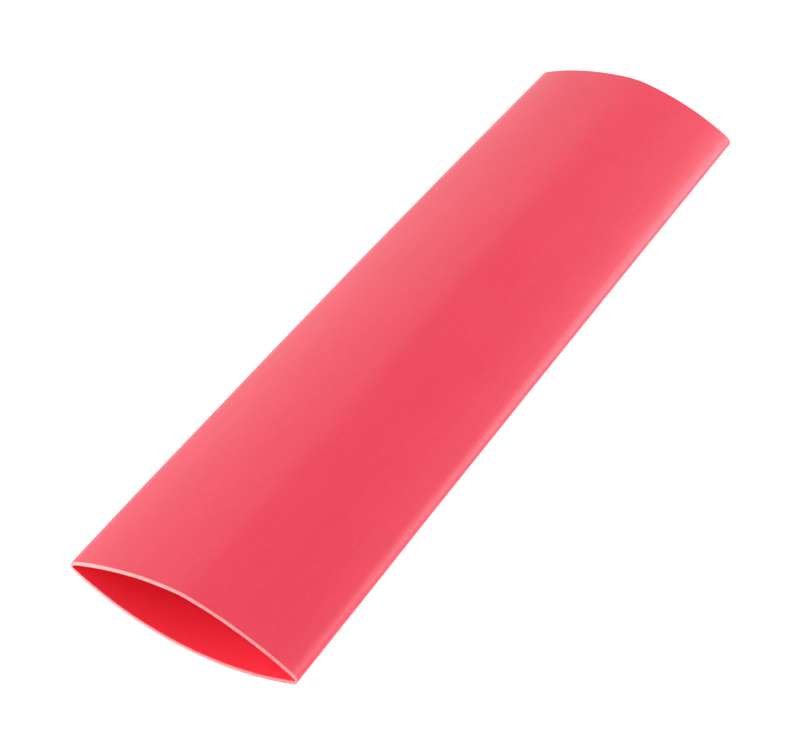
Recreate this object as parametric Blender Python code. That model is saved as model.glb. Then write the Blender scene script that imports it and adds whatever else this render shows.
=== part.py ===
"""A cut length of heat shrink tube, as it comes off the reel and lies on a table.

The tube was wound up flat, so it keeps two folded edges. Between them the wall has sprung open into
a lens: a roof with a soft ridge along its middle, and a rounder belly that the tube rests on. It is
one extruded piece, cut square at both ends and open all the way through.

Metres, +Z up. X runs across the flattened tube, Y along it. The origin is on the floor, under the
middle of the tube.
"""

import math

import bmesh
import bpy
from mathutils import Vector

# The stock.
BORE = 0.018
WALL = 0.00045
LENGTH = 0.1016

# How it has sprung open. Radii are those of the middle of the wall, whose length round the tube is
# that of the round tube, so the width and the height follow from the bore and the wall.
FOLD_RADIUS = 0.00068
RIDGE_RADIUS = 0.014
RIDGE_SLOPE = math.radians(7.8)
ROOF_SLOPE = math.radians(26.0)
ROOF_FLANK = 0.0017
BELLY_SLOPE = math.radians(25.6)
BELLY_FLANK = 0.0015
REST_WIDTH = 0.0012

# How finely the bends are cut into flats.
FLAT_WIDTH = 0.0009
FOLD_FLATS = 12

TUBE_COLOUR = (0.83, 0.03, 0.06, 1.0)
TUBE_ROUGHNESS = 0.45
TUBE_METALLIC = 0.0


def clear_scene():
    """Remove whatever the file holds."""
    for thing in list(bpy.data.objects):
        bpy.data.objects.remove(thing, do_unlink=True)


def red_polyolefin():
    """The satin red plastic that the tube is extruded from."""
    material = bpy.data.materials.new("red_polyolefin")
    material.use_nodes = True
    shader = material.node_tree.nodes["Principled BSDF"]
    shader.inputs["Base Color"].default_value = TUBE_COLOUR
    shader.inputs["Roughness"].default_value = TUBE_ROUGHNESS
    shader.inputs["Metallic"].default_value = TUBE_METALLIC
    return material


def free_radii():
    """Radii of the roof's broad bend and of the belly.

    They are what is left free once the folds, the ridge and the flanks are set. Half of the wall's
    length, from the ridge to the middle of the belly, is half that of the round tube, and the two
    halves close on the tube's middle plane. Both conditions are linear in the two radii.
    """
    half_round = math.pi * (BORE + WALL) / 2
    fold_turn = math.pi - ROOF_SLOPE - BELLY_SLOPE
    length_left = half_round - (
        RIDGE_RADIUS * RIDGE_SLOPE
        + ROOF_FLANK
        + FOLD_RADIUS * fold_turn
        + BELLY_FLANK
        + REST_WIDTH / 2
    )
    width_left = (
        RIDGE_RADIUS * math.sin(RIDGE_SLOPE)
        + ROOF_FLANK * math.cos(ROOF_SLOPE)
        + FOLD_RADIUS * (math.sin(BELLY_SLOPE) - math.sin(ROOF_SLOPE))
        - BELLY_FLANK * math.cos(BELLY_SLOPE)
        - REST_WIDTH / 2
    )
    roof_turn = ROOF_SLOPE - RIDGE_SLOPE
    roof_width = math.sin(ROOF_SLOPE) - math.sin(RIDGE_SLOPE)
    belly_width = math.sin(BELLY_SLOPE)
    measure = roof_turn * belly_width + BELLY_SLOPE * roof_width
    roof = (length_left * belly_width - width_left * BELLY_SLOPE) / measure
    belly = (length_left * roof_width + width_left * roof_turn) / measure
    return roof, belly


def half_wall():
    """Points on the middle of the wall, and the wall's outward normals, from ridge to belly.

    The walk starts on the ridge heading +X and turns steadily downwards, through a half turn.
    """
    roof_radius, belly_radius = free_radii()
    stretches = (
        ("bend", RIDGE_RADIUS, RIDGE_SLOPE),
        ("bend", roof_radius, ROOF_SLOPE - RIDGE_SLOPE),
        ("straight", ROOF_FLANK, 0.0),
        ("fold", FOLD_RADIUS, math.pi - ROOF_SLOPE - BELLY_SLOPE),
        ("straight", BELLY_FLANK, 0.0),
        ("bend", belly_radius, BELLY_SLOPE),
    )
    place = Vector((0.0, 0.0))
    heading = 0.0
    walk = [(place.copy(), Vector((0.0, 1.0)))]
    for kind, size, turn in stretches:
        if kind == "straight":
            place = place + Vector((math.cos(heading), -math.sin(heading))) * size
            walk.append((place.copy(), Vector((math.sin(heading), math.cos(heading)))))
            continue
        flats = FOLD_FLATS if kind == "fold" else max(3, round(size * turn / FLAT_WIDTH))
        centre = place - Vector((math.sin(heading), math.cos(heading))) * size
        for step in range(1, flats + 1):
            angle = heading + turn * step / flats
            normal = Vector((math.sin(angle), math.cos(angle)))
            walk.append((centre + normal * size, normal))
        place = centre + normal * size
        heading += turn
    return walk


def closed_wall():
    """The whole way round the tube: the right half, then the left half back up to the ridge."""
    right = half_wall()
    left = [
        (Vector((-point.x, point.y)), Vector((-normal.x, normal.y)))
        for point, normal in reversed(right)
    ]
    return right + left[:-1]


def ring(mesh, wall, offset, floor, y):
    """A closed loop of edges, offset from the middle of the wall, in the plane of a cut end."""
    corners = []
    for point, normal in wall:
        corner = point + normal * offset
        corners.append(mesh.verts.new((corner.x, y, corner.y - floor)))
    return [
        mesh.edges.new((corners[index - 1], corners[index])) for index in range(len(corners))
    ]


def heat_shrink_tube(material):
    """The tube: the ring of wall at its near cut end, extruded to its far cut end."""
    wall = closed_wall()
    floor = min(point.y for point, normal in wall) - WALL / 2
    near = -LENGTH / 2

    mesh = bmesh.new()
    outside = ring(mesh, wall, WALL / 2, floor, near)
    inside = ring(mesh, wall, -WALL / 2, floor, near)
    cut = bmesh.ops.bridge_loops(mesh, edges=outside + inside)["faces"]
    run = bmesh.ops.extrude_face_region(mesh, geom=cut, use_keep_orig=True)["geom"]
    moved = [part for part in run if isinstance(part, bmesh.types.BMVert)]
    bmesh.ops.translate(mesh, verts=moved, vec=(0.0, LENGTH, 0.0))
    bmesh.ops.recalc_face_normals(mesh, faces=mesh.faces)

    data = bpy.data.meshes.new("heat_shrink_tube")
    mesh.to_mesh(data)
    mesh.free()
    data.shade_smooth()
    data.set_sharp_from_angle(angle=math.radians(30))
    data.materials.append(material)
    tube = bpy.data.objects.new("heat_shrink_tube", data)
    bpy.context.scene.collection.objects.link(tube)
    return tube


clear_scene()
heat_shrink_tube(red_polyolefin())
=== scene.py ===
"""The looks of a cut length of heat shrink tube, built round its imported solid.

The tube is one thin wall of red plastic. It was wound up flat, so it keeps a folded edge at each side
and has sprung open between them. Here that wall is made as one fine closed mesh, with rounded lips
where it was cut and the faint ripple of an extruded skin, and it stands for the plain solid.

The file is laid out as an add-on, and run as a script it builds the whole picture.
"""

import math

import bmesh
import bpy
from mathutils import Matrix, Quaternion, Vector, noise


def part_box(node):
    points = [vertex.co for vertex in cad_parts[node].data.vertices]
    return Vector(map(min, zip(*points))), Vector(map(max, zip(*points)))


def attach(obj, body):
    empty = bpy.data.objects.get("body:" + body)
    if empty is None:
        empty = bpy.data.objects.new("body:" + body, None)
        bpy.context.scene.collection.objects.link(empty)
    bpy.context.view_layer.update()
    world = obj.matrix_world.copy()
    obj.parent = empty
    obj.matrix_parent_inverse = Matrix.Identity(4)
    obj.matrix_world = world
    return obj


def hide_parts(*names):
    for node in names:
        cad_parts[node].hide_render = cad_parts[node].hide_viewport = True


bl_info = {
    "name": "Heat Shrink Tube",
    "version": (1, 0, 0),
    "blender": (4, 5, 0),
    "location": "View3D > Sidebar > Heat Shrink Tube",
    "description": "A cut length of flat wound heat shrink tube, and a white table to show it on",
    "category": "Object",
}

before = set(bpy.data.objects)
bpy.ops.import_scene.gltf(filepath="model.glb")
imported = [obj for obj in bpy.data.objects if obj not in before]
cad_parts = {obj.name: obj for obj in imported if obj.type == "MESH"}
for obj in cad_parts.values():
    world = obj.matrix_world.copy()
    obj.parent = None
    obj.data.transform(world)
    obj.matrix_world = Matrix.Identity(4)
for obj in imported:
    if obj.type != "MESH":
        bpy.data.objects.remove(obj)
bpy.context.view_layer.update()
SOLID = "heat_shrink_tube"
SOLID_LOW, SOLID_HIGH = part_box(SOLID)

MM = 0.001


class TubeShape(bpy.types.PropertyGroup):
    """How the wall has sprung open. Radii are those of the middle of the wall."""

    wall: bpy.props.FloatProperty(
        name="Wall", description="Thickness of the wall", default=0.45 * MM, unit="LENGTH"
    )
    fold_radius: bpy.props.FloatProperty(
        name="Fold radius",
        description="Radius of the two folded edges",
        default=0.633 * MM,
        unit="LENGTH",
    )
    crease: bpy.props.FloatProperty(
        name="Crease",
        description="How much deeper the inside of each fold is creased than the outside",
        default=0.19 * MM,
        unit="LENGTH",
    )
    ridge_radius: bpy.props.FloatProperty(
        name="Ridge radius",
        description="Radius of the soft ridge along the middle of the roof",
        default=11.45 * MM,
        unit="LENGTH",
    )
    ridge_slope: bpy.props.FloatProperty(
        name="Ridge slope",
        description="How far the ridge turns on each side before the broad bend takes over",
        default=math.radians(7.07),
        subtype="ANGLE",
    )
    roof_slope: bpy.props.FloatProperty(
        name="Roof slope",
        description="Slope of the roof where its broad bend runs into the shoulder",
        default=math.radians(27.13),
        subtype="ANGLE",
    )
    shoulder_radius: bpy.props.FloatProperty(
        name="Shoulder radius",
        description="Radius of the bend between the roof and the fold",
        default=5.3 * MM,
        unit="LENGTH",
    )
    shoulder_slope: bpy.props.FloatProperty(
        name="Shoulder slope",
        description="Slope of the roof where its shoulder runs into the fold",
        default=math.radians(35.1),
        subtype="ANGLE",
    )
    belly_slope: bpy.props.FloatProperty(
        name="Belly slope",
        description="Slope of the belly where it runs into the fold",
        default=math.radians(27.5),
        subtype="ANGLE",
    )
    belly_flank: bpy.props.FloatProperty(
        name="Belly flank",
        description="Straight stretch between the belly and the fold",
        default=0.3 * MM,
        unit="LENGTH",
    )
    lean: bpy.props.FloatProperty(
        name="Lean",
        description="How far the lowest part of the belly lies to one side of the ridge",
        default=-0.42 * MM,
        unit="LENGTH",
    )
    bow: bpy.props.FloatProperty(
        name="Bow",
        description="Sideways bow of the tube at the middle of its length",
        default=-0.234 * MM,
        unit="LENGTH",
    )
    spread: bpy.props.FloatProperty(
        name="Spread",
        description="How much farther out each fold lies at the middle of the length",
        default=0.112 * MM,
        unit="LENGTH",
    )
    far_opening: bpy.props.FloatProperty(
        name="Far opening",
        description="Height of the far end as a share of the near end's height",
        default=0.989,
        min=0.0,
        max=1.0,
        subtype="FACTOR",
    )
    ripple: bpy.props.FloatProperty(
        name="Ripple",
        description="Height of the slow ripples that extruding and winding leave in the wall",
        default=0.03 * MM,
        unit="LENGTH",
    )
    outer_edge: bpy.props.FloatProperty(
        name="Outer edge",
        description="Rounding of the outer edge of each cut face",
        default=0.05 * MM,
        unit="LENGTH",
    )
    inner_edge: bpy.props.FloatProperty(
        name="Inner edge",
        description="Rounding of the inner edge of each cut face",
        default=0.02 * MM,
        unit="LENGTH",
    )
    cut_wander: bpy.props.FloatProperty(
        name="Cut wander",
        description="How far each cut strays from square",
        default=0.03 * MM,
        unit="LENGTH",
    )


class TubeFinish(bpy.types.PropertyGroup):
    """Colours of the plastic and how its surfaces shine."""

    skin_colour: bpy.props.FloatVectorProperty(
        name="Skin colour",
        description="Colour of the plastic on the outside",
        default=(0.69, 0.029, 0.072, 1.0),
        size=4,
        subtype="COLOR",
    )
    # A lighter red than the skin's: the plastic's colour with a painted glow of light coming through
    # the wall.
    bore_colour_and_glow: bpy.props.FloatVectorProperty(
        name="Bore colour",
        description="Colour of the plastic on the inside",
        default=(0.94, 0.054, 0.096, 1.0),
        size=4,
        subtype="COLOR",
    )
    cut_colour: bpy.props.FloatVectorProperty(
        name="Cut colour",
        description="Colour of the plastic where the blade has whitened it",
        default=(0.95, 0.44, 0.44, 1.0),
        size=4,
        subtype="COLOR",
    )
    # Painted light and shade: the cut faces go from the cut colour towards -X to this darker red
    # towards +X.
    shaded_cut_colour: bpy.props.FloatVectorProperty(
        name="Late cut colour",
        description="Colour of the cut on the side where the blade came out",
        default=(0.92, 0.24, 0.25, 1.0),
        size=4,
        subtype="COLOR",
    )
    # Blade whitening beside each cut, partly a painted highlight along the rims.
    whitened_and_highlit_rim: bpy.props.FloatProperty(
        name="Whitened edge",
        description="How far from the cut the skin and the bore are whitened",
        default=0.15 * MM,
        unit="LENGTH",
    )
    roughness: bpy.props.FloatProperty(
        name="Roughness",
        description="Roughness of the satin skin",
        default=0.23,
        min=0.0,
        max=1.0,
        subtype="FACTOR",
    )
    grain: bpy.props.FloatProperty(
        name="Grain", description="Size of the skin's fine grain", default=0.45 * MM, unit="LENGTH"
    )
    glow: bpy.props.FloatProperty(
        name="Glow",
        description="Share of the light that passes into the plastic before it comes out",
        default=1.0,
        min=0.0,
        max=1.0,
        subtype="FACTOR",
    )
    skin_depth: bpy.props.FloatProperty(
        name="Skin depth",
        description="How far red light travels below the skin",
        default=0.25 * MM,
        unit="LENGTH",
    )
    bore_depth: bpy.props.FloatProperty(
        name="Bore depth",
        description="How far red light travels to the bore and to the cuts",
        default=0.5 * MM,
        unit="LENGTH",
    )


class StageSettings(bpy.types.PropertyGroup):
    """The white table, the white surroundings and the camera."""

    tent: bpy.props.FloatProperty(
        name="Tent", description="Brightness of the white tent behind the tube", default=0.95
    )
    tent_opening: bpy.props.FloatProperty(
        name="Tent opening",
        description="How much darker the tent is behind the camera, where it is open",
        default=0.75,
        min=0.0,
        max=1.0,
        subtype="FACTOR",
    )
    table_glow: bpy.props.FloatProperty(
        name="Table glow", description="Light that the table gives off by itself", default=1.05
    )
    table_grey: bpy.props.FloatProperty(
        name="Table grey",
        description="Share of the light that the table throws back",
        default=0.3,
        min=0.0,
        max=1.0,
        subtype="FACTOR",
    )
    camera_place: bpy.props.FloatVectorProperty(
        name="Camera place",
        description="Where the camera stands",
        default=(77.230 * MM, -143.773 * MM, 153.312 * MM),
        subtype="TRANSLATION",
    )
    camera_aim: bpy.props.FloatVectorProperty(
        name="Camera aim",
        description="What the camera looks at",
        default=(0.260 * MM, -9.413 * MM, 4.142 * MM),
        subtype="TRANSLATION",
    )
    camera_roll: bpy.props.FloatProperty(
        name="Camera roll",
        description="How far the camera is turned about its line of sight",
        default=math.radians(1.885),
        subtype="ANGLE",
    )
    camera_lens: bpy.props.FloatProperty(
        name="Camera lens", description="Focal length of the camera", default=86.44, unit="CAMERA"
    )


# The softboxes. Azimuth is measured from +Y towards +X and elevation from the table. Roll turns a
# softbox about the line to the tube. All three are in degrees, sizes are in metres, and brightness is
# what a mirror would show.
SOFTBOXES = (
    {
        "name": "broad_softbox",
        "azimuth": -68.8,
        "elevation": 24.7,
        "roll": -25.4,
        "distance": 0.6,
        "width": 0.595,
        "height": 0.994,
        "brightness": 0.41,
        "colour": (1.0, 1.0, 0.88),
    },
    {
        "name": "edge_softbox",
        "azimuth": 42.6,
        "elevation": 15.0,
        "roll": 12.8,
        "distance": 0.6,
        "width": 0.38,
        "height": 0.507,
        "brightness": 2.9,
        "colour": (1.0, 0.98, 1.02),
    },
    {
        "name": "edge_core",
        "azimuth": 36.0,
        "elevation": 12.0,
        "roll": 0.0,
        "distance": 0.58,
        "width": 0.2,
        "height": 0.38,
        "brightness": 0.8,
        "colour": (1.0, 0.98, 1.02),
    },
    {
        "name": "edge_glow",
        "azimuth": 29.0,
        "elevation": 33.0,
        "roll": 0.0,
        "distance": 0.6,
        "width": 0.44,
        "height": 0.28,
        "brightness": 0.35,
        "colour": (1.0, 1.0, 1.0),
    },
    {
        "name": "front_softbox",
        "azimuth": -133.0,
        "elevation": 23.0,
        "roll": 0.0,
        "distance": 0.5,
        "width": 0.5,
        "height": 0.2,
        "brightness": 4.5,
        "colour": (1.0, 1.0, 1.0),
    },
    {
        "name": "side_softbox",
        "azimuth": 88.0,
        "elevation": 30.0,
        "roll": 0.0,
        "distance": 0.5,
        "width": 0.4,
        "height": 0.4,
        "brightness": 2.0,
        "colour": (1.0, 1.0, 1.0),
    },
)


# A Mix node has several sockets of each name. These are the ones for colours.
FIRST_COLOUR, SECOND_COLOUR, MIXED_COLOUR = 6, 7, 2


class Value:
    """A number that varies over a surface. Python's operators on it add Math nodes."""

    def __init__(self, recipe, socket):
        self.recipe = recipe
        self.socket = socket

    def maths(self, operation, first, second):
        """The output of a Math node."""
        node = self.recipe.node("ShaderNodeMath", {"operation": operation}, {0: first, 1: second})
        return Value(self.recipe, node.outputs[0])

    def __add__(self, other):
        return self.maths("ADD", self, other)

    __radd__ = __add__

    def __sub__(self, other):
        return self.maths("SUBTRACT", self, other)

    def __rsub__(self, other):
        return self.maths("SUBTRACT", other, self)

    def __mul__(self, other):
        return self.maths("MULTIPLY", self, other)

    __rmul__ = __mul__

    def __abs__(self):
        return self.maths("ABSOLUTE", self, 0.0)


class Recipe:
    """A node tree that is written as expressions."""

    def __init__(self, tree):
        self.tree = tree
        tree.nodes.clear()

    def node(self, kind, settings, inputs):
        """Add a node of that type: its settings first, then the values or links of its sockets."""
        node = self.tree.nodes.new(kind)
        for name, setting in settings.items():
            setattr(node, name, setting)
        for name, value in inputs.items():
            if isinstance(value, Value):
                value = value.socket
            if isinstance(value, bpy.types.NodeSocket):
                self.tree.links.new(value, node.inputs[name])
            else:
                node.inputs[name].default_value = value
        return node

    def value(self, node, output):
        """An output of a node, as a number that expressions can use."""
        return Value(self, node.outputs[output])

    def place(self, part):
        """The surface point's place in the row frame along X, Y or Z, in metres."""
        where = self.node("ShaderNodeTexCoord", {}, {})
        split = self.node("ShaderNodeSeparateXYZ", {}, {0: where.outputs["Object"]})
        return self.value(split, part)

    def stretched_noise(self, size, detail=2.0):
        """Noise with grains of that size in metres along X, Y and Z, from 0 to 1."""
        where = self.node("ShaderNodeTexCoord", {}, {})
        scaled = self.node(
            "ShaderNodeVectorMath",
            {"operation": "DIVIDE"},
            {0: where.outputs["Object"], 1: size},
        )
        noisy = self.node(
            "ShaderNodeTexNoise",
            {},
            {"Vector": scaled.outputs[0], "Scale": 1.0, "Detail": detail},
        )
        return self.value(noisy, "Fac")

    def fade(self, value, start, end):
        """A smooth step: 0 where the value is at start and 1 where it is at end."""
        node = self.node(
            "ShaderNodeMapRange",
            {"interpolation_type": "SMOOTHSTEP"},
            {"Value": value, "From Min": start, "From Max": end, "To Min": 0.0, "To Max": 1.0},
        )
        return self.value(node, "Result")

    def blend(self, share, first, second):
        """A colour between two colours."""
        node = self.node(
            "ShaderNodeMix",
            {"data_type": "RGBA"},
            {"Factor": share, FIRST_COLOUR: first, SECOND_COLOUR: second},
        )
        return node.outputs[MIXED_COLOUR]


def new_recipe(name):
    """An empty material and its recipe."""
    material = bpy.data.materials.new(name)
    material.use_nodes = True
    return material, Recipe(material.node_tree)


# How the plastic takes light. Green and blue travel these shares of the way that red does.
PLASTIC_IOR = 1.5
LIGHT_REACH = (1.0, 0.12, 0.16)

# The blade's whitening, with a painted highlight, covers this first share of the pale rim evenly, and
# is less pale than the cut itself.
EVENLY_WHITE = 0.25
WHITENING_AND_HIGHLIGHT = 0.75

# Sizes of the marks in the plastic along X, Y and Z.
STREAK_SIZE = (1.1 * MM, 30 * MM, 1.1 * MM)
CLOUD_SIZE = (6 * MM, 14 * MM, 6 * MM)
DIE_LINE_SIZE = (0.7 * MM, 25 * MM, 0.7 * MM)
DRAG_MARK_SIZE = (0.12 * MM, 0.5 * MM, 0.4 * MM)

# Depths of the relief that the marks leave.
SKIN_RELIEF = 0.006 * MM
BORE_RELIEF = 0.004 * MM
CUT_RELIEF = 0.01 * MM

# The skin is deep red where its mottling is below the first of these, and light above the second.
MOTTLING_RANGE = (0.4, 0.6)

# The dry cut's roughness, how much duller the bore is than the skin, and how far the drag marks shift
# the cut's painted shading from pale to red.
CUT_ROUGHNESS = 0.5
BORE_DULLNESS = 0.08
PALENESS_DRAGGED = 4 * MM


def shades(colour, red, rest):
    """A colour made darker and lighter, by those shares of its red and of its other channels."""
    return [
        (
            colour[0] * (1 + sign * red),
            colour[1] * (1 + sign * rest),
            colour[2] * (1 + sign * rest),
            1.0,
        )
        for sign in (-1, 1)
    ]


def relief(recipe, height, depth, strength):
    """A Bump node whose relief is that deep, in metres, where the height goes from 0 to 1."""
    return recipe.node(
        "ShaderNodeBump", {}, {"Strength": strength, "Distance": depth, "Height": height}
    )


def plastic(recipe, finish, colour, roughness, depth, bump):
    """Finish a material as the tube's plastic, which light passes into."""
    inputs = {
        "Base Color": colour,
        "Roughness": roughness,
        "IOR": PLASTIC_IOR,
        "Subsurface Weight": finish.glow,
        "Subsurface Radius": LIGHT_REACH,
        "Subsurface Scale": depth,
        "Normal": bump.outputs["Normal"],
    }
    shader = recipe.node("ShaderNodeBsdfPrincipled", {}, inputs)
    recipe.node("ShaderNodeOutputMaterial", {}, {"Surface": shader.outputs[0]})


def paled_by_blade_and_highlight(recipe, finish, colour):
    """The colour of the skin or the bore, paler beside the cuts: whitened by the blade, and a painted
    highlight along each rim.
    """
    from_cut = SOLID_HIGH.y - abs(recipe.place("Y"))
    whitening_and_highlight = 1 - recipe.fade(from_cut, EVENLY_WHITE * finish.whitened_and_highlit_rim, finish.whitened_and_highlit_rim)
    return recipe.blend(WHITENING_AND_HIGHLIGHT * whitening_and_highlight, colour, finish.cut_colour)


def skin_material(finish):
    """Satin red skin: fine grain, faint streaks along the tube, and whitened beside the cuts."""
    material, recipe = new_recipe("red_satin_skin")
    grain = recipe.stretched_noise((finish.grain,) * 3, detail=3.0)
    streaks = recipe.stretched_noise(STREAK_SIZE)
    clouds = recipe.stretched_noise(CLOUD_SIZE)
    mottling = 0.35 * clouds + 0.2 * streaks + 0.45 * grain
    deep, light = shades(finish.skin_colour, red=0.015, rest=0.07)
    mottled = recipe.blend(recipe.fade(mottling, *MOTTLING_RANGE), deep, light)
    colour = paled_by_blade_and_highlight(recipe, finish, mottled)
    roughness = finish.roughness - 0.02 + 0.05 * grain + 0.03 * clouds
    bump = relief(recipe, grain + 0.4 * streaks, SKIN_RELIEF, strength=1.0)
    plastic(recipe, finish, colour, roughness, finish.skin_depth, bump)
    return material


def bore_material(finish):
    """The inside: the same plastic, duller, with lines from the die, in a lighter red than the skin
    that paints the glow of light coming through the wall.
    """
    material, recipe = new_recipe("red_bore")
    die_lines = recipe.stretched_noise(DIE_LINE_SIZE)
    # Painted glow: the bore's colour is a lighter red than the skin's.
    deep, light = shades(finish.bore_colour_and_glow, red=0.03, rest=0.03)
    colour = paled_by_blade_and_highlight(recipe, finish, recipe.blend(die_lines, deep, light))
    roughness = finish.roughness + BORE_DULLNESS + 0.05 * die_lines
    bump = relief(recipe, die_lines, BORE_RELIEF, strength=0.5)
    plastic(recipe, finish, colour, roughness, finish.bore_depth, bump)
    return material


def cut_material(finish):
    """The cut faces: pale and dry, with the blade's fine drag marks, and painted light and shade that
    make them palest towards -X and redder towards +X.
    """
    material, recipe = new_recipe("whitened_cut_painted_shade")
    drag = recipe.stretched_noise(DRAG_MARK_SIZE, detail=3.0)
    dragged = recipe.place("X") + PALENESS_DRAGGED * drag
    # Painted light and shade across the cut faces: pale towards -X, redder towards +X.
    shaded_share = recipe.fade(dragged, SOLID_LOW.x, SOLID_HIGH.x)
    colour = recipe.blend(shaded_share, finish.cut_colour, finish.shaded_cut_colour)
    roughness = CUT_ROUGHNESS + 0.15 * drag
    bump = relief(recipe, drag, CUT_RELIEF, strength=0.6)
    plastic(recipe, finish, colour, roughness, finish.bore_depth, bump)
    return material


# The materials' places on the wall.
SKIN, BORE, CUT = range(3)

# How finely the wall is meshed, round the tube and along it.
WALK_STEP = 0.26 * MM
SHOULDER_STEPS = 6
FOLD_STEPS = 18
LENGTH_STEPS = 110
LIP_STEPS = 4
FACE_STEPS = 4

# A narrow ring beside each cut keeps the shading of its rounded edge off the long faces behind it.
EDGE_STRIP = 0.05 * MM

# Sizes of the ripples along X, Y and Z.
RIPPLE_SIZE = (7 * MM, 16 * MM, 5 * MM)

# Size of each cut's wander, where the ends are read in the noise, and how far behind the cut the
# wall follows it.
WANDER_SIZE = 3 * MM
ENDS_APART = 5.0
WANDER_REACH = 1 * MM

# The belly leans fully from this depth below the folds, as a share of the tube's height.
FULL_LEAN_DEPTH = 0.47


def half_wall(shape):
    """Points on the middle of the wall with their outward normals, from ridge to belly.

    The walk starts on the ridge heading +X and turns downwards through a half turn. The radii of the
    roof's broad bend and of the belly are the ones that span the solid's width.
    """
    half_width = (SOLID_HIGH.x - SOLID_LOW.x) / 2 - shape.wall / 2
    ridge_sine = math.sin(shape.ridge_slope)
    roof_sine = math.sin(shape.roof_slope)
    shoulder_sine = math.sin(shape.shoulder_slope)
    belly_sine = math.sin(shape.belly_slope)
    roof_reach = (
        half_width
        - shape.ridge_radius * ridge_sine
        - shape.shoulder_radius * (shoulder_sine - roof_sine)
        - shape.fold_radius * (1 - shoulder_sine)
    )
    belly_reach = (
        half_width
        - shape.belly_flank * math.cos(shape.belly_slope)
        - shape.fold_radius * (1 - belly_sine)
    )
    roof_radius = roof_reach / (roof_sine - ridge_sine)
    belly_radius = belly_reach / belly_sine
    stretches = (
        (shape.ridge_radius, shape.ridge_slope, None),
        (roof_radius, shape.roof_slope - shape.ridge_slope, None),
        (shape.shoulder_radius, shape.shoulder_slope - shape.roof_slope, SHOULDER_STEPS),
        (shape.fold_radius, math.pi - shape.shoulder_slope - shape.belly_slope, FOLD_STEPS),
        (shape.belly_flank, 0.0, None),
        (belly_radius, shape.belly_slope, None),
    )
    place = Vector((0.0, 0.0))
    heading = 0.0
    walk = [(place.copy(), Vector((0.0, 1.0)))]
    for size, turn, steps in stretches:
        length = size * turn if turn else size
        steps = steps or max(1, round(length / WALK_STEP))
        for step in range(1, steps + 1):
            half_turn = turn / steps / 2
            chord = 2 * size * math.sin(half_turn) if turn else size / steps
            heading += half_turn
            place = place + chord * Vector((math.cos(heading), -math.sin(heading)))
            heading += half_turn
            walk.append((place.copy(), Vector((math.sin(heading), math.cos(heading)))))
    return walk


def closed_wall(shape):
    """The whole way round, with the folds' line at height 0."""
    right = half_wall(shape)
    fold_line = max(right, key=lambda corner: corner[0].x)[0].y
    right = [(point - Vector((0.0, fold_line)), normal) for point, normal in right]
    left = [
        (Vector((-point.x, point.y)), Vector((-normal.x, normal.y)))
        for point, normal in reversed(right[1:-1])
    ]
    return right + left


def wall_stations(shape):
    """Where the wall's surface runs, end to end and back: (offset from its middle, y, material).

    The outer edge of each cut is as pale as the cut, which is partly a painted highlight along the
    rim, and the inner edge is part of the bore.
    """
    half_wall_size = shape.wall / 2
    # The outer edge takes the pale cut material, partly as a painted highlight along the rim.
    outer, inner = (shape.outer_edge, CUT), (shape.inner_edge, BORE)
    stations = []
    for side, finish, first, last in ((1, SKIN, outer, inner), (-1, BORE, inner, outer)):
        first_radius, first_finish = first
        last_radius, last_finish = last
        start, end = side * (last_radius - SOLID_HIGH.y), side * (SOLID_HIGH.y - first_radius)
        strip = side * EDGE_STRIP
        run = [start]
        for step in range(LENGTH_STEPS + 1):
            run.append(start + strip + (end - start - 2 * strip) * step / LENGTH_STEPS)
        for y in run:
            stations.append((side * half_wall_size, y, finish))
        for step in range(LIP_STEPS):
            angle = math.pi / 2 * step / LIP_STEPS
            offset = half_wall_size - first_radius * (1 - math.cos(angle))
            y = end + side * first_radius * math.sin(angle)
            stations.append((side * offset, y, first_finish))
        flat = shape.wall - first_radius - last_radius
        for step in range(FACE_STEPS):
            offset = half_wall_size - first_radius - flat * step / FACE_STEPS
            stations.append((side * offset, side * SOLID_HIGH.y, CUT))
        for step in range(LIP_STEPS):
            angle = math.pi / 2 * (1 - step / LIP_STEPS)
            offset = half_wall_size - last_radius * (1 - math.cos(angle))
            y = side * (SOLID_HIGH.y - last_radius * (1 - math.sin(angle)))
            stations.append((-side * offset, y, last_finish))
    return stations


def wall_point(shape, point, normal, offset, y):
    """A point of the wall's surface, with the tube's creases, bow, spread, lean and ripples."""
    along = (y - SOLID_LOW.y) / (SOLID_HIGH.y - SOLID_LOW.y)
    middle = 4 * along * (1 - along)
    ripple = shape.ripple * noise.noise(
        Vector((point.x / RIPPLE_SIZE[0], y / RIPPLE_SIZE[1], point.y / RIPPLE_SIZE[2]))
    )
    fold_start = math.sin(shape.shoulder_slope)
    bend = max(0.0, abs(normal.x) - fold_start) / (1 - fold_start)
    inwards = 0.5 - offset / shape.wall
    placed = point + normal * (offset + ripple + shape.crease * inwards * bend * bend)
    half_width = SOLID_HIGH.x
    depth = max(0.0, -placed.y) / (FULL_LEAN_DEPTH * SOLID_HIGH.z)
    x = placed.x * (1 + middle * shape.spread / half_width) + middle * shape.bow
    x += shape.lean * min(1.0, depth)
    z = placed.y * (1 + (shape.far_opening - 1) * along)
    end = math.copysign(1.0, y)
    near_cut = max(0.0, 1 - (SOLID_HIGH.y - abs(y)) / WANDER_REACH)
    wander = shape.cut_wander * noise.noise(
        Vector((point.x / WANDER_SIZE, end * ENDS_APART, point.y / WANDER_SIZE))
    )
    return Vector((x, y - end * abs(wander) * near_cut, z))


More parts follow.
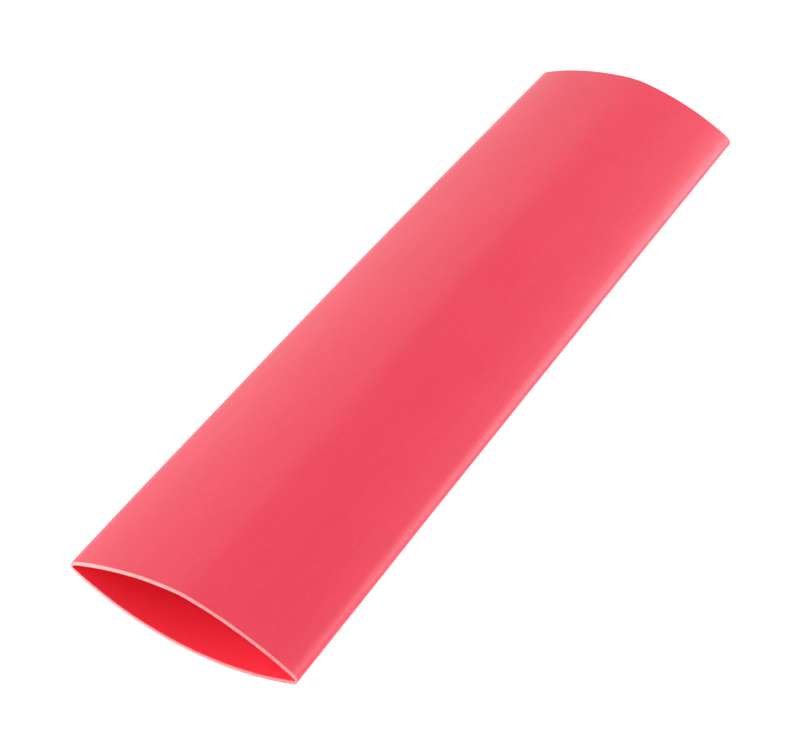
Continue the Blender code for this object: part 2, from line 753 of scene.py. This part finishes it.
def build_wall_mesh(shape):
    """The wall as one closed mesh: rings round the tube, joined end to end and back."""
    wall = closed_wall(shape)
    stations = wall_stations(shape)
    mesh = bmesh.new()
    rings = []
    for offset, y, _ in stations:
        rings.append(
            [mesh.verts.new(wall_point(shape, point, normal, offset, y)) for point, normal in wall]
        )
    for index, (_, _, finish) in enumerate(stations):
        this, following = rings[index], rings[(index + 1) % len(rings)]
        for corner in range(len(wall)):
            after = (corner + 1) % len(wall)
            face = mesh.faces.new((this[corner], this[after], following[after], following[corner]))
            face.material_index = finish
            face.smooth = True
    lowest = min(vertex.co.z for vertex in mesh.verts)
    bmesh.ops.translate(mesh, verts=mesh.verts, vec=(0.0, 0.0, -lowest))
    bmesh.ops.recalc_face_normals(mesh, faces=mesh.faces)
    data = bpy.data.meshes.new("tube_wall")
    mesh.to_mesh(data)
    mesh.free()
    return data


class HEATSHRINK_OT_wall(bpy.types.Operator):
    """Make the tube's wall and let it stand for the plain solid"""

    bl_idname = "heatshrink.wall"
    bl_label = "Make the tube"

    def execute(self, context):
        shape = context.scene.tube_shape
        finish = context.scene.tube_finish
        data = build_wall_mesh(shape)
        for make in (skin_material, bore_material, cut_material):
            data.materials.append(make(finish))
        tube = bpy.data.objects.new("tube_wall", data)
        context.scene.collection.objects.link(tube)
        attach(tube, "root")
        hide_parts(SOLID)
        return {"FINISHED"}


WHITE = (1.0, 1.0, 1.0, 1.0)
TABLE_RADIUS = 3.0
TABLE_SIDES = 96
FILM_WIDTH = 36.0
NEAREST_SEEN = 0.01

# The tent's opening, from its rim to its middle, as the cosine of the angle off the camera's place.
OPENING_RIM = 0.5
OPENING_MIDDLE = 0.95


def make_table(stage):
    """The white table, which glows so that no shadow shows on it."""
    mesh = bmesh.new()
    bmesh.ops.create_circle(mesh, cap_ends=True, segments=TABLE_SIDES, radius=TABLE_RADIUS)
    data = bpy.data.meshes.new("table")
    mesh.to_mesh(data)
    mesh.free()
    material, recipe = new_recipe("white_table")
    shader = recipe.node(
        "ShaderNodeBsdfPrincipled",
        {},
        {
            "Base Color": (stage.table_grey, stage.table_grey, stage.table_grey, 1.0),
            "Roughness": 0.9,
            "Specular IOR Level": 0.0,
            "Emission Color": WHITE,
            "Emission Strength": stage.table_glow,
        },
    )
    recipe.node("ShaderNodeOutputMaterial", {}, {"Surface": shader.outputs[0]})
    data.materials.append(material)
    table = bpy.data.objects.new("table", data)
    bpy.context.scene.collection.objects.link(table)


def light_tent(stage):
    """White surroundings, darker where the camera looks in."""
    world = bpy.data.worlds.new("tent")
    bpy.context.scene.world = world
    world.use_nodes = True
    recipe = Recipe(world.node_tree)
    where = recipe.node("ShaderNodeTexCoord", {}, {})
    split = recipe.node("ShaderNodeSeparateXYZ", {}, {0: where.outputs["Generated"]})
    towards = Vector(stage.camera_place).normalized()
    camera_side = (
        towards.x * recipe.value(split, "X")
        + towards.y * recipe.value(split, "Y")
        + towards.z * recipe.value(split, "Z")
    )
    opening = recipe.fade(camera_side, OPENING_RIM, OPENING_MIDDLE)
    behind_camera = stage.tent * (1 - stage.tent_opening)
    cloth, gap = (
        recipe.node("ShaderNodeBackground", {}, {"Color": WHITE, "Strength": strength}).outputs[0]
        for strength in (stage.tent, behind_camera)
    )
    mixed = recipe.node("ShaderNodeMixShader", {}, {"Fac": opening, 1: cloth, 2: gap})
    recipe.node("ShaderNodeOutputWorld", {}, {"Surface": mixed.outputs[0]})


def hang_softbox(name, azimuth, elevation, roll, distance, width, height, brightness, colour):
    """A rectangular softbox that faces the tube's middle."""
    light = bpy.data.lights.new(name, "AREA")
    light.shape = "RECTANGLE"
    light.size = width
    light.size_y = height
    light.energy = math.pi * width * height * brightness
    light.color = colour
    softbox = bpy.data.objects.new(name, light)
    turn = math.radians(azimuth)
    rise = math.radians(elevation)
    outwards = Vector(
        (math.sin(turn) * math.cos(rise), math.cos(turn) * math.cos(rise), math.sin(rise))
    )
    softbox.location = outwards * distance
    rolled = Quaternion((0.0, 0.0, 1.0), -math.radians(roll))
    softbox.rotation_euler = ((-outwards).to_track_quat("-Z", "Y") @ rolled).to_euler()
    bpy.context.scene.collection.objects.link(softbox)


def set_camera(stage):
    """The camera, where the photograph was taken from."""
    camera = bpy.data.objects.new("camera", bpy.data.cameras.new("camera"))
    camera.data.lens = stage.camera_lens
    camera.data.sensor_width = FILM_WIDTH
    camera.data.clip_start = NEAREST_SEEN
    place = Vector(stage.camera_place)
    sight = Vector(stage.camera_aim) - place
    roll = Quaternion((0.0, 0.0, 1.0), stage.camera_roll)
    camera.location = place
    camera.rotation_euler = (sight.to_track_quat("-Z", "Y") @ roll).to_euler()
    bpy.context.scene.collection.objects.link(camera)
    bpy.context.scene.camera = camera


class HEATSHRINK_OT_stage(bpy.types.Operator):
    """Lay out the white table, its soft lights and the camera"""

    bl_idname = "heatshrink.stage"
    bl_label = "Set the stage"

    def execute(self, context):
        stage = context.scene.tube_stage
        make_table(stage)
        light_tent(stage)
        for softbox in SOFTBOXES:
            hang_softbox(**softbox)
        set_camera(stage)
        context.scene.view_settings.view_transform = "Standard"
        return {"FINISHED"}


class HEATSHRINK_PT_studio(bpy.types.Panel):
    """Sizes, colours and steps of the heat shrink tube"""

    bl_label = "Heat Shrink Tube"
    bl_idname = "HEATSHRINK_PT_studio"
    bl_space_type = "VIEW_3D"
    bl_region_type = "UI"
    bl_category = "Heat Shrink Tube"

    def draw(self, context):
        layout = self.layout
        for settings, operator in (
            (context.scene.tube_shape, HEATSHRINK_OT_wall),
            (context.scene.tube_finish, None),
            (context.scene.tube_stage, HEATSHRINK_OT_stage),
        ):
            box = layout.box()
            for name in type(settings).__annotations__:
                box.prop(settings, name)
            if operator:
                box.operator(operator.bl_idname)


CLASSES = (
    TubeShape,
    TubeFinish,
    StageSettings,
    HEATSHRINK_OT_wall,
    HEATSHRINK_OT_stage,
    HEATSHRINK_PT_studio,
)


def register():
    for cls in CLASSES:
        bpy.utils.register_class(cls)
    bpy.types.Scene.tube_shape = bpy.props.PointerProperty(type=TubeShape)
    bpy.types.Scene.tube_finish = bpy.props.PointerProperty(type=TubeFinish)
    bpy.types.Scene.tube_stage = bpy.props.PointerProperty(type=StageSettings)


def unregister():
    del bpy.types.Scene.tube_stage
    del bpy.types.Scene.tube_finish
    del bpy.types.Scene.tube_shape
    for cls in reversed(CLASSES):
        bpy.utils.unregister_class(cls)


def main():
    """Build the picture."""
    register()
    bpy.ops.heatshrink.wall()
    bpy.ops.heatshrink.stage()


if __name__ == "__main__":
    main()
